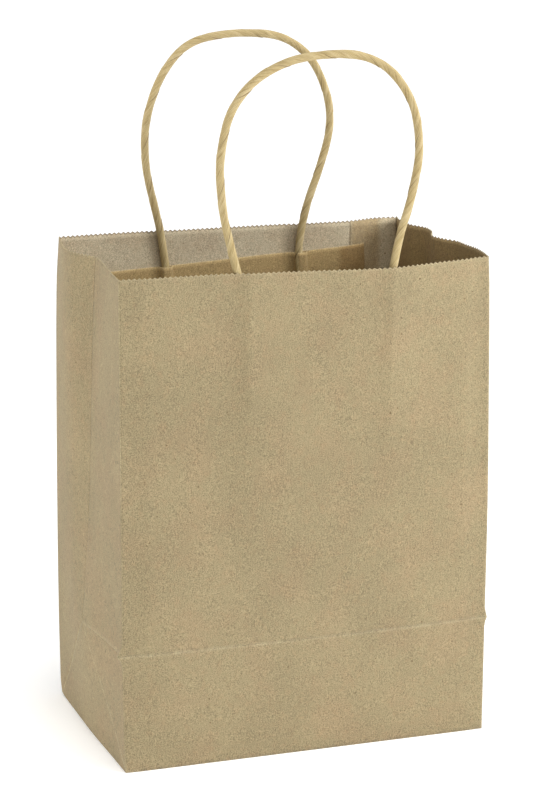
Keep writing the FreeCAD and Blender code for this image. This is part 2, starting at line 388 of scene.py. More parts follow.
def grid_mesh(name, columns, rows, place, outward, rim, creased=False):
    """A sheet of squares through place(s, t). Its rim, every second column, for the teeth,
    and its creased upright edges are marked."""
    corners = [place(i / columns, j / rows) for j in range(rows + 1) for i in range(columns + 1)]
    wide = columns + 1
    faces = []
    for j in range(rows):
        for i in range(columns):
            low = j * wide + i
            faces.append((low, low + 1, low + 1 + wide, low + wide))
    mesh = bpy.data.meshes.new(name)
    mesh.from_pydata(corners, [], faces)
    middle = mesh.polygons[len(faces) // 2 + columns // 2]
    if sum(a * b for a, b in zip(middle.normal, outward)) < 0:
        mesh.flip_normals()
    at_rim = mesh.attributes.new("at_rim", "FLOAT", "POINT")
    tooth = mesh.attributes.new("tooth", "FLOAT", "POINT")
    corner = mesh.attributes.new("corner", "FLOAT", "POINT")
    for j in range(rows + 1):
        for i in range(wide):
            at_rim.data[j * wide + i].value = 1.0 if rim and j == rows else 0.0
            tooth.data[j * wide + i].value = float(i % 2)
            at_corner = abs(corners[j * wide + i][1]) > HALF_DEPTH - 0.1 * MM
            # The upright corners are marked for a pale line: crease wear and a painted highlight.
            corner_wear_and_highlight = creased and at_corner and i in (0, columns)
            corner.data[j * wide + i].value = 1.0 if corner_wear_and_highlight else 0.0
    return mesh


def cut_paper_tree():
    """Pinks the top edge of a sheet, then gives the sheet its thickness."""
    tree = bpy.data.node_groups.new("cut_paper", "GeometryNodeTree")
    face = tree.interface
    face.new_socket("Sheet", in_out="INPUT", socket_type="NodeSocketGeometry")
    face.new_socket("Paper thickness", in_out="INPUT", socket_type="NodeSocketFloat")
    face.new_socket("Tooth depth", in_out="INPUT", socket_type="NodeSocketFloat")
    face.new_socket("Paper", in_out="INPUT", socket_type="NodeSocketMaterial")
    face.new_socket("Cut sheet", in_out="OUTPUT", socket_type="NodeSocketGeometry")
    given = add(tree, "NodeGroupInput").outputs
    at_rim = add(tree, "GeometryNodeInputNamedAttribute", {"Name": "at_rim"})
    tooth = add(tree, "GeometryNodeInputNamedAttribute", {"Name": "tooth"})
    notch = add(tree, MATH, {0: tooth, 1: at_rim}, operation="MULTIPLY")
    notch = add(tree, MATH, {0: notch, 1: given["Tooth depth"]}, operation="MULTIPLY")
    down = add(tree, MATH, {0: notch, 1: -1.0}, operation="MULTIPLY")
    down = add(tree, "ShaderNodeCombineXYZ", {"Z": down})
    pinked = add(tree, "GeometryNodeSetPosition", {"Geometry": given["Sheet"], "Offset": down})
    merged = add(tree, "GeometryNodeMergeByDistance", {"Geometry": pinked, "Distance": 0.02 * MM})
    turned = add(tree, "GeometryNodeFlipFaces", {"Mesh": merged})
    thick = add(tree, "GeometryNodeExtrudeMesh",
                {"Mesh": turned, "Offset Scale": given["Paper thickness"], "Individual": False},
                mode="FACES")
    marked = add(tree, "GeometryNodeStoreNamedAttribute",
                 {"Geometry": thick, "Selection": thick.outputs["Top"],
                  "Name": "inner_side", "Value": 1.0}, data_type="FLOAT", domain="FACE")
    edges = add(tree, "GeometryNodeStoreNamedAttribute",
                {"Geometry": marked, "Selection": thick.outputs["Side"],
                 "Name": "cut_edge", "Value": 1.0}, data_type="FLOAT", domain="FACE")
    both = add(tree, "GeometryNodeJoinGeometry", {0: edges})
    tree.links.new(merged.outputs[0], both.inputs[0])
    closed = add(tree, "GeometryNodeMergeByDistance", {"Geometry": both, "Distance": 0.001 * MM})
    cut_edge = add(tree, "GeometryNodeInputNamedAttribute", {"Name": "cut_edge"})
    broad_face = add(tree, MATH, {0: cut_edge, 1: 0.5}, operation="LESS_THAN")
    shaded = add(tree, "GeometryNodeSetShadeSmooth",
                 {"Geometry": closed, "Shade Smooth": broad_face})
    whole = add(tree, "GeometryNodeRealizeInstances", {"Geometry": shaded})
    named = add(tree, "GeometryNodeSetMaterial", {"Geometry": whole, "Material": given["Paper"]})
    add(tree, "NodeGroupOutput", {0: named})
    return tree


def bake(name, data, tree, values):
    """Run a geometry tree on a mesh or a curve, and keep the result as a plain mesh."""
    source = bpy.data.objects.new(name + "_source", data)
    bpy.context.scene.collection.objects.link(source)
    modifier = source.modifiers.new("tree", "NODES")
    modifier.node_group = tree
    for socket in tree.interface.items_tree:
        if socket.in_out == "INPUT" and socket.name in values:
            modifier[socket.identifier] = values[socket.name]
    bpy.context.view_layer.update()
    evaluated = source.evaluated_get(bpy.context.evaluated_depsgraph_get())
    mesh = bpy.data.meshes.new_from_object(evaluated)
    mesh.name = name
    bpy.data.objects.remove(source)
    piece = bpy.data.objects.new(name, mesh)
    bpy.context.scene.collection.objects.link(piece)
    return piece


STAIN_EDGE = 2.5 * MM
SIDE_ROOM = 6.5 * MM
# The brown of the bark flecks, also used for the painted shade in the valley and at the rim's teeth.
FLECK_AND_SHADE_BROWN = "5f4a2e"


def kraft_paper(name, outside, inside, wear_and_highlight_tone, warmer, stain=None, stain_from=0.0, stain_to=0.0,
                rim_hidden=0.38, rim_shade=0.75):
    """Uncoated recycled kraft: matt and a little fuzzy, with short fibres, bark flecks and cloudy colour. The creases
    are scuffed paler, as the fibres stand up there; on the upright corners the pale line is also a painted highlight,
    and the valley up a side is a dark line of painted shade. The cut rim has a painted highlight on its outer side and
    painted shade at its teeth on the inner side. A band between two places along X is darker: glue soaked through on
    the lap, and a darker right end on the handle patches."""
    material = bpy.data.materials.new(name)
    material.use_nodes = True
    tree = material.node_tree
    shader = tree.nodes["Principled BSDF"]
    place = add(tree, "ShaderNodeTexCoord").outputs["Object"]
    x, y, z = add(tree, "ShaderNodeSeparateXYZ", {"Vector": place}).outputs
    inner = add(tree, ATTRIBUTE, attribute_name="inner_side").outputs["Fac"]
    at_rim = add(tree, ATTRIBUTE, attribute_name="at_rim").outputs["Fac"]
    at_corner = add(tree, ATTRIBUTE, attribute_name="corner").outputs["Fac"]

    # Colour: each side's own, a darker band along X, then pinkish and greenish pulp blotches and warm clouds. Each row
    # gives a blob's size in millimetres, where it starts and is full, and how strong it is there.
    colour = add(tree, MIX, {0: inner, 6: linear(outside), 7: linear(inside)}, data_type="RGBA")
    if stain:
        start = add(tree, RAMP, {0: x, 1: stain_from - STAIN_EDGE, 2: stain_from + STAIN_EDGE},
                    interpolation_type=SMOOTH)
        stop = add(tree, RAMP, {0: x, 1: stain_to + STAIN_EDGE, 2: stain_to - STAIN_EDGE},
                   interpolation_type=SMOOTH)
        band = add(tree, MATH, {0: start, 1: stop}, operation="MULTIPLY")
        seep = add(tree, NOISE, {"Vector": place, "Scale": 1 / (6 * MM), "Detail": 2.0})
        seep = add(tree, MATH, {0: seep, 1: 0.5, 2: 0.45}, operation="MULTIPLY_ADD")
        soaked = add(tree, MATH, {0: band, 1: seep}, operation="MULTIPLY")
        colour = add(tree, MIX, {0: soaked, 6: colour, 7: linear(stain)}, data_type="RGBA")
    for size_mm, low, high, strength, tint in ((3.4, 0.46, 0.78, 0.20, "a58260"),
                                               (2.7, 0.50, 0.80, 0.12, "8f8d63"),
                                               (24.0, 0.44, 0.66, 0.17, warmer)):
        blobs = add(tree, NOISE, {"Vector": place, "Scale": 1 / (size_mm * MM), "Detail": 3.0,
                                  "Roughness": 0.6})
        blotch = add(tree, RAMP, {0: blobs, 1: low, 2: high, 4: strength},
                     interpolation_type=SMOOTH)
        colour = add(tree, MIX, {0: blotch, 6: colour, 7: linear(tint)}, data_type="RGBA")

    # Brightness: felt grain of 0.54 mm, drawn coarser than the real felt so that it shows,
    # mottle of 2 mm, then fibres 0.5 mm thick that lie four ways, and clouds of 42 mm.
    grain = add(tree, NOISE, {"Vector": place, "Scale": 1 / (0.54 * MM), "Detail": 2.0,
                              "Roughness": 0.7})
    mottle = add(tree, NOISE, {"Vector": place, "Scale": 1 / (2.1 * MM), "Detail": 2.0,
                               "Roughness": 0.6})
    bright = add(tree, MATH, {0: grain, 1: 1.98, 2: -0.09}, operation="MULTIPLY_ADD")
    bright = add(tree, MATH, {0: mottle, 1: 0.20, 2: bright}, operation="MULTIPLY_ADD")
    for turn, offset, gain in ((0.5, 0.0, 0.11), (-0.7, 3.0, -0.13), (1.5, 7.0, 0.10),
                               (2.4, 11.0, -0.11)):
        lie = add(tree, "ShaderNodeMapping",
                  {"Vector": place, "Rotation": (turn, turn, turn),
                   "Scale": (1.0, 0.17, 0.17), "Location": (offset, 0.0, 0.0)})
        fibre = add(tree, NOISE, {"Vector": lie, "Scale": 1 / (0.5 * MM), "Detail": 1.0})
        fibre = add(tree, RAMP, {0: fibre, 1: 0.60, 2: 0.70, 4: gain}, interpolation_type=SMOOTH)
        bright = add(tree, MATH, {0: bright, 1: fibre}, operation="ADD")
    cloud = add(tree, NOISE, {"Vector": place, "Scale": 1 / (42 * MM), "Detail": 2.0})
    tone = add(tree, RAMP, {0: cloud, 1: 0.35, 2: 0.65, 3: 0.955, 4: 1.045},
               interpolation_type=SMOOTH)
    bright = add(tree, MATH, {0: bright, 1: tone}, operation="MULTIPLY")

    # Flecks of bark, about one each 6 mm, up to 1 mm across.
    cells = add(tree, "ShaderNodeTexVoronoi",
                {"Vector": place, "Scale": 1 / (5.5 * MM), "Randomness": 1.0})
    chance = add(tree, "ShaderNodeSeparateColor", {"Color": cells.outputs["Color"]}).outputs
    reach = add(tree, MATH, {0: chance[0], 1: 0.085, 2: 0.02}, operation="MULTIPLY_ADD")
    fleck = add(tree, MATH, {0: cells.outputs["Distance"], 1: reach}, operation="LESS_THAN")
    depth = add(tree, MATH, {0: chance[1], 1: 0.75}, operation="MULTIPLY")
    dark = add(tree, MATH, {0: fleck, 1: depth}, operation="MULTIPLY")

    # Where the sheet is creased: the front's fold, the diagonals of a side's foot, the upright
    # corners, and the valley up the middle of a side, above its foot.
    from_middle = add(tree, MATH, {0: y}, operation="ABSOLUTE")
    across = add(tree, MATH, {0: x}, operation="ABSOLUTE")
    on_side = add(tree, MATH, {0: across, 1: HALF_WIDTH - SIDE_ROOM}, operation="GREATER_THAN")
    on_front = add(tree, MATH, {0: y, 1: 0.5 * MM}, operation="LESS_THAN")
    wander = add(tree, NOISE, {"Vector": place, "Scale": 1 / (14 * MM), "Detail": 2.0})
    wander = add(tree, MATH, {0: wander, 1: 0.6 * MM, 2: -0.3 * MM - FOLD_LEVEL},
                 operation="MULTIPLY_ADD")
    from_fold = add(tree, MATH, {0: z, 1: wander}, operation="ADD")
    from_fold = add(tree, MATH, {0: from_fold}, operation="ABSOLUTE")
    diagonal = add(tree, MATH, {0: from_middle, 1: z}, operation="ADD")
    diagonal = add(tree, MATH, {0: diagonal, 1: FOLD_LEVEL}, operation="SUBTRACT")
    diagonal = add(tree, MATH, {0: diagonal}, operation="ABSOLUTE")
    above_foot = add(tree, RAMP, {0: z, 1: 0.13, 2: 0.17}, interpolation_type=SMOOTH)
    side_above = add(tree, MATH, {0: on_side, 1: above_foot}, operation="MULTIPLY")

    # The creases are rubbed pale in patches of 5 mm; on the upright corners the pale line is also a painted highlight
    # along the rounded edge. The valley is a thin dark line of painted shade.
    patches = add(tree, NOISE, {"Vector": place, "Scale": 1 / (5 * MM), "Detail": 3.0})
    lines = []
    for mark, none, full, where, least, most in (
            (from_fold, 1.5 * MM, 0.1 * MM, on_front, 0.10, 0.36),
            (diagonal, 1.8 * MM, 0.2 * MM, on_side, 0.20, 0.48),
            (at_corner, 0.45, 1.0, 1.0, 0.30, 0.55),
            (from_middle, 0.45 * MM, 0.1 * MM, side_above, 0.02, 0.18)):
        line = add(tree, RAMP, {0: mark, 1: none, 2: full}, interpolation_type=SMOOTH)
        line = add(tree, MATH, {0: line, 1: where}, operation="MULTIPLY")
        amount = add(tree, RAMP, {0: patches, 1: 0.35, 2: 0.65, 3: least, 4: most},
                     interpolation_type=SMOOTH)
        lines.append(add(tree, MATH, {0: line, 1: amount}, operation="MULTIPLY"))
    *rubbed_and_highlit, valley = lines

    # The cut rim is painted pale on its outer side, as a painted highlight where the cut edge catches the light, and
    # less so on its inner side; there its teeth are painted dark, as painted shade.
    rim = add(tree, RAMP, {0: at_rim, 1: 0.62, 2: 1.0}, interpolation_type=SMOOTH)
    shown = add(tree, MATH, {0: inner, 1: -rim_hidden, 2: 0.42}, operation="MULTIPLY_ADD")
    wear_and_highlight = add(tree, MATH, {0: rim, 1: shown}, operation="MULTIPLY")
    for line in rubbed_and_highlit:
        wear_and_highlight = add(tree, MATH, {0: wear_and_highlight, 1: line}, operation="MAXIMUM")
    # Painted shade: on the inner side the teeth of the rim are darkened.
    inner_rim_shade = add(tree, RAMP, {0: at_rim, 1: 0.60, 2: 1.0, 4: rim_shade}, interpolation_type=SMOOTH)
    inner_rim_shade = add(tree, MATH, {0: inner_rim_shade, 1: inner}, operation="MULTIPLY")
    # The valley and the inner rim's teeth are added to the flecks as painted shade.
    for line in (valley, inner_rim_shade):
        dark = add(tree, MATH, {0: dark, 1: line}, operation="MAXIMUM")
    colour = add(tree, MIX, {0: wear_and_highlight, 6: colour, 7: linear(wear_and_highlight_tone)}, data_type="RGBA")
    colour = add(tree, MIX, {0: dark, 6: colour, 7: linear(FLECK_AND_SHADE_BROWN)}, data_type="RGBA")
    shade = add(tree, "ShaderNodeCombineXYZ", {"X": bright, "Y": bright, "Z": bright})
    colour = add(tree, MIX, {0: 1.0, 6: colour, 7: shade}, data_type="RGBA",
                 blend_type="MULTIPLY")

    # Surface: felted grain over slow cockling.
    cockle = add(tree, NOISE, {"Vector": place, "Scale": 1 / (11 * MM), "Detail": 3.0})
    cockle = add(tree, MATH, {0: cockle, 1: 0.16 * MM}, operation="MULTIPLY")
    height = add(tree, MATH, {0: grain, 1: 0.012 * MM, 2: cockle}, operation="MULTIPLY_ADD")
    relief = add(tree, "ShaderNodeBump", {"Height": height, "Strength": 0.6, "Distance": 1.0})
    roughness = add(tree, MATH, {0: grain, 1: 0.16, 2: 0.74}, operation="MULTIPLY_ADD")
    tree.links.new(colour.outputs[2], shader.inputs["Base Color"])
    tree.links.new(relief.outputs[0], shader.inputs["Normal"])
    tree.links.new(roughness.outputs[0], shader.inputs["Roughness"])
    shader.inputs["Specular IOR Level"].default_value = 0.25
    shader.inputs["Sheen Weight"].default_value = 0.06
    shader.inputs["Sheen Roughness"].default_value = 0.6
    return material


kraft = kraft_paper("kraft_recycled_pressed", outside="958767", inside="bfb297",
                    wear_and_highlight_tone="b9ac8a", warmer="a28365")
# The right side's kraft has its inner face painted darker and browner: painted shade, as that face is turned away from
# the lights.
kraft_shaded_inside = kraft_paper("kraft_painted_shade_inside", outside="958767", inside="a68e62",
                            wear_and_highlight_tone="b9ac8a", warmer="a28365")
cut_paper = cut_paper_tree()


def paper_panel(name, body, columns, rows, place, outward, rim=False, paper=kraft,
                node=None, flatten=None):
    """One panel of the sheet, cut, thickened and fixed to its body."""
    mesh = grid_mesh(name, columns, rows, place, outward, rim, creased=True)
    piece = bake(name, mesh, cut_paper, {
        "Paper thickness": PAPER, "Tooth depth": TOOTH_DEPTH, "Paper": paper})
    if flatten is not None:
        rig.squash(piece, "flat_fold", axis=(1, 0, 0), anchor=(flatten, 0, 0), keep=0.12)
    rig.ride(piece, body)
    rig.replaces(piece, node or name)
    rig.slot(piece, "kraft_paper")


WALL_COLUMNS = 2 * round(2 * HALF_WIDTH / TOOTH_PITCH)
SIDE_COLUMNS = 2 * round(HALF_DEPTH / TOOTH_PITCH)
ROWS = 72
FOOT_ROWS = 26


def front_point(s, t, low, high):
    z = mix(low, high, t)
    x = mix(side_x(-1, -HALF_DEPTH, z), side_x(1, -HALF_DEPTH, z), s)
    return x, front_y(x, z), lift(x, -HALF_DEPTH, z)


def back_point(s, t):
    z = mix(0.0, RIM, t)
    x = mix(side_x(-1, HALF_DEPTH, z), side_x(1, HALF_DEPTH, z), s)
    return x, back_y(x, z), lift(x, HALF_DEPTH, z)


paper_panel("front_upper", "front_wall", WALL_COLUMNS, ROWS,
            lambda s, t: front_point(s, t, FOLD_LEVEL, RIM), (0, -1, 0), rim=True,
            node="front_panel_upper")
paper_panel("front_lower", "front_foot", WALL_COLUMNS, FOOT_ROWS,
            lambda s, t: front_point(s, t, 0.0, FOLD_LEVEL), (0, -1, 0),
            node="front_panel_lower")
paper_panel("back_wall_sheet", "back_wall", WALL_COLUMNS, ROWS, back_point, (0, 1, 0),
            rim=True, node="back_panel")


def side_point(hand, y, z):
    return side_x(hand, y, z), y, lift(hand * HALF_WIDTH, y, z)


def side_panels(hand, name, paper):
    """The four panels of one gusset, between its creases."""
    wall = hand * HALF_WIDTH

    def back_half(s, t):
        y = mix(0.0, HALF_DEPTH, s)
        return side_point(hand, y, mix(HALF_DEPTH - y, RIM, t))

    def front_half(s, t):
        return side_point(hand, mix(-HALF_DEPTH, 0.0, s), mix(FOLD_LEVEL, RIM, t))

    def front_corner(s, t):
        y = mix(-HALF_DEPTH, 0.0, s)
        return side_point(hand, y, mix(y + HALF_DEPTH, FOLD_LEVEL, t))

    def foot(s, t):
        y = mix(-HALF_DEPTH, HALF_DEPTH, s)
        return side_point(hand, y, mix(0.0, HALF_DEPTH - abs(y), t))

    outward = (hand, 0, 0)
    paper_panel(f"{name}_side_back", f"{name}_gusset_back", SIDE_COLUMNS, ROWS, back_half,
                outward, rim=True, paper=paper, node=f"{name}_gusset_back",
                flatten=wall)
    paper_panel(f"{name}_side_front", f"{name}_gusset_front", SIDE_COLUMNS, ROWS, front_half,
                outward, rim=True, paper=paper, node=f"{name}_gusset_front",
                flatten=wall)
    paper_panel(f"{name}_side_corner", f"{name}_front_triangle", SIDE_COLUMNS, FOOT_ROWS,
                front_corner, outward, paper=paper, node=f"{name}_front_triangle", flatten=wall)
    paper_panel(f"{name}_side_foot", f"{name}_bottom_triangle", 2 * SIDE_COLUMNS, FOOT_ROWS,
                foot, outward, paper=paper, node=f"{name}_bottom_triangle", flatten=wall)


side_panels(-1, "left", kraft)
# The right side takes the kraft with painted shade on its inner face.
side_panels(1, "right", kraft_shaded_inside)


# ---------------------------------------------------------------- the glued seam
# The sheet is closed by a lap of the right side, glued flat inside the back wall with a
# band of starch glue that has dried warm and a little darker. Its edge is a plain cut.
lap_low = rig.box("seam_lap")[0]
GLUE = 0.05 * MM
LAP_ROOM = 0.4 * MM
glued_kraft = kraft_paper("kraft_glue_stained", outside="b9ab8e", inside="b9ab8e",
                          wear_and_highlight_tone="bca878", warmer="b49c7a",
                          stain="98815a", stain_from=71 * MM, stain_to=90 * MM)


def lap_point(s, t):
    z = mix(lap_low.z, RIM - TOOTH_DEPTH, t)
    x = mix(lap_low.x, side_x(1, HALF_DEPTH, z) - LAP_ROOM, s)
    return x, back_y(x, z) - PAPER - GLUE, z


paper_panel("seam_lap_sheet", "back_wall", 2 * round((HALF_WIDTH - lap_low.x) / TOOTH_PITCH),
            ROWS, lap_point, (0, 1, 0), paper=glued_kraft, node="seam_lap")


# ---------------------------------------------------------------- the bottom
# The foot of the tube is folded flat: two triangular side folds inside, then the back flap,
# then the front flap outside, which overlap in the middle and are glued together.
EDGE_ROOM = 0.3 * MM
# The side folds reach this far under the diagonals of the flaps, so that no slit shows.
UNDERLAP = 1.0 * MM
FLAP_SAG = 0.05 * MM
FLAP_GRID = (72, 28)
SIDE_GRID = (48, 24)
FLAP_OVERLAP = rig.box("bottom_front_flap")[1].y


def bottom_flap(hand, level):
    """hand is -1 for the flap from the front edge and 1 for the one from the back."""

    def place(s, t):
        y = hand * mix(HALF_DEPTH - EDGE_ROOM, -FLAP_OVERLAP, t)
        inset = (HALF_DEPTH - EDGE_ROOM) - hand * y
        left = side_x(-1, hand * HALF_DEPTH, 0.0) + EDGE_ROOM + inset
        right = side_x(1, hand * HALF_DEPTH, 0.0) - EDGE_ROOM - inset
        x = mix(left, right, s)
        sag = FLAP_SAG * (1 - math.cos(2 * math.pi * s)) * t
        return x, y, lift(x, y, level) + sag

    return place


def bottom_side(hand, level):
    """hand is -1 for the fold from the left side and 1 for the one from the right."""

    def place(s, t):
        y = mix(-HALF_DEPTH + EDGE_ROOM, HALF_DEPTH - EDGE_ROOM, s)
        edge = side_x(hand, y, 0.0) - hand * EDGE_ROOM
        x = edge - hand * t * (HALF_DEPTH - EDGE_ROOM - abs(y) + UNDERLAP)
        return x, y, lift(x, y, level)

    return place


paper_panel("bottom_front_sheet", "bottom", *FLAP_GRID, bottom_flap(-1, 0.0), (0, 0, -1),
            node="bottom_front_flap")
paper_panel("bottom_back_sheet", "bottom", *FLAP_GRID, bottom_flap(1, PAPER), (0, 0, -1),
            node="bottom_back_flap")
paper_panel("bottom_left_sheet", "bottom", *SIDE_GRID, bottom_side(-1, 2 * PAPER), (0, 0, -1),
            node="bottom_left_fold")
paper_panel("bottom_right_sheet", "bottom", *SIDE_GRID, bottom_side(1, 2 * PAPER), (0, 0, -1),
            node="bottom_right_fold")


# ---------------------------------------------------------------- the handle patches
# Each handle is held by two strips of brown paper with the cord's ends between them, glued to the inside of the wall.
# The strips are a deeper brown, and darker still from 64 to 90 mm along X.
PATCH_LENGTH = 151 * MM
PATCH_HEIGHT = 44 * MM
PATCH_RIPPLE = 0.12 * MM
STRIP_COLUMNS = 100
COVER_COLUMNS = 220
PATCH_ROWS = 20
CORD = 4.2 * MM
LEG = 39.5 * MM
# The cover rises over each leg of the cord from this far off, along a slope this long.
COVER_FOOT = 4.6 * MM
COVER_SLOPE = 2.7 * MM
COVER_ROOM = 0.25 * MM

patch_paper = kraft_paper("patch_paper_glued", outside="a78f62", inside="a78f62",
                          wear_and_highlight_tone="cbbb92", warmer="a5875c",
                          stain="876a3f", stain_from=64 * MM, stain_to=90 * MM,
                          # Less painted highlight on the inner rim, and no painted shade at its teeth.
                          rim_hidden=0.16, rim_shade=0.0)


def patch_piece(name, node, wall, hand, centre, level, tilt, handle, layer, ridged):
    """A strip on the wall; a ridged one rises over the two cord ends."""
    turn = math.radians(tilt)

    def place(s, t):
        u = mix(-PATCH_LENGTH / 2, PATCH_LENGTH / 2, s)
        v = mix(-PATCH_HEIGHT / 2, PATCH_HEIGHT / 2, t)
        x = centre + u * math.cos(turn) - v * math.sin(turn)
        z = level + u * math.sin(turn) + v * math.cos(turn)
        inward = layer + PATCH_RIPPLE * math.sin(x / 0.009) * math.sin(z / 0.006)
        if ridged:
            for leg in (-LEG, LEG):
                far = abs(u - (handle - centre) - leg)
                slope = min(1.0, max(0.0, (COVER_FOOT - far) / COVER_SLOPE))
                inward += (CORD + COVER_ROOM) * slope * slope * (3 - 2 * slope)
        surface = back_y(x, z) if hand > 0 else front_y(x, z)
        return x, surface - hand * (PAPER + inward), z

    columns = COVER_COLUMNS if ridged else STRIP_COLUMNS
    mesh = grid_mesh(name, columns, PATCH_ROWS, place, (0, hand, 0), rim=True)
    piece = bake(name, mesh, cut_paper, {
        "Paper thickness": PAPER, "Tooth depth": 0.0, "Paper": patch_paper})
    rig.ride(piece, wall)
    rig.replaces(piece, node)
    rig.slot(piece, "patch_paper")


# Each patch's centre along X, its level, and its tilt in degrees.
BACK_PATCH = (5.5 * MM, 226.9 * MM, 3.0)
FRONT_PATCH = (6.5 * MM, 224.8 * MM, 0.0)
BACK_HANDLE = 1.5 * MM
FRONT_HANDLE = 4.65 * MM
for wall, hand, (centre, level, tilt), handle in (
        ("back_wall", 1, BACK_PATCH, BACK_HANDLE), ("front_wall", -1, FRONT_PATCH, FRONT_HANDLE)):
    side = wall.split("_")[0]
    patch_piece(f"{side}_patch_strip", f"{side}_patch_base", wall, hand, centre, level, tilt,
                handle, layer=PAPER + GLUE, ridged=False)
    patch_piece(f"{side}_patch_over_cord", f"{side}_patch_cover", wall, hand, centre, level,
                tilt, handle, layer=2 * (PAPER + GLUE), ridged=True)


# ---------------------------------------------------------------- the cords
# Each handle is one cord of straw-coloured paper, twisted hard from a long ribbon, so that
# its fine pleats and the ribbon's edge run round it. It is stiff enough to stand up.
TWIST_PITCH = 25 * MM
PLEATS = 17
# The depths of a pleat and of the ribbon's edge are shares of the cord's radius.
PLEAT_DEPTH = 0.15
RIBBON_EDGE = 0.09
# The pleats and the ribbon's edge cut into the section, so it is drawn this much larger.
FULLNESS = 1.07

BACK_CORD = [
    (-0.0370, 0.0621, 0.2067), (-0.0378, 0.0622, 0.2226), (-0.0391, 0.0623, 0.2479),
    (-0.0435, 0.0624, 0.2740), (-0.0505, 0.0623, 0.3005), (-0.0510, 0.0623, 0.3280),
    (-0.0412, 0.0623, 0.3548), (-0.0250, 0.0623, 0.3725), (0.0040, 0.0623, 0.3763),
    (0.0320, 0.0623, 0.3733), (0.0505, 0.0623, 0.3572), (0.0600, 0.0620, 0.3280),
    (0.0532, 0.0603, 0.3022), (0.0424, 0.0577, 0.2780), (0.0376, 0.0587, 0.2520),
    (0.0405, 0.0598, 0.2268), (0.0415, 0.0602, 0.2108),
]
FRONT_CORD = [
    (-0.0337, -0.0676, 0.2070), (-0.0337, -0.0678, 0.2230), (-0.0339, -0.0674, 0.2486),
    (-0.0412, -0.0646, 0.2750), (-0.0470, -0.0640, 0.3013), (-0.0477, -0.0630, 0.3285),
    (-0.0397, -0.0625, 0.3553), (-0.0175, -0.0623, 0.3725), (0.0115, -0.0623, 0.3774),
    (0.0385, -0.0623, 0.3742), (0.0572, -0.0628, 0.3550), (0.0628, -0.0641, 0.3285),
    (0.0571, -0.0666, 0.3018), (0.0472, -0.0698, 0.2766), (0.0427, -0.0714, 0.2497),
    (0.0429, -0.0708, 0.2240), (0.0429, -0.0700, 0.2070),
]


def cord_line(name, route):
    """The cord's own line: a smooth curve led by the points of its route."""
    curve = bpy.data.curves.new(name, "CURVE")
    curve.dimensions = "3D"
    curve.resolution_u = 10
    spline = curve.splines.new("NURBS")
    spline.points.add(len(route) - 1)
    for point, place in zip(spline.points, route):
        point.co = (*place, 1.0)
    spline.order_u = 3
    spline.use_endpoint_u = True
    line = bpy.data.objects.new(name, curve)
    bpy.context.scene.collection.objects.link(line)
    bpy.context.view_layer.update()
    evaluated = line.evaluated_get(bpy.context.evaluated_depsgraph_get())
    mesh = bpy.data.meshes.new_from_object(evaluated)
    points = [tuple(vertex.co) for vertex in mesh.vertices]
    bpy.data.meshes.remove(mesh)
    bpy.data.objects.remove(line)
    return curve, points


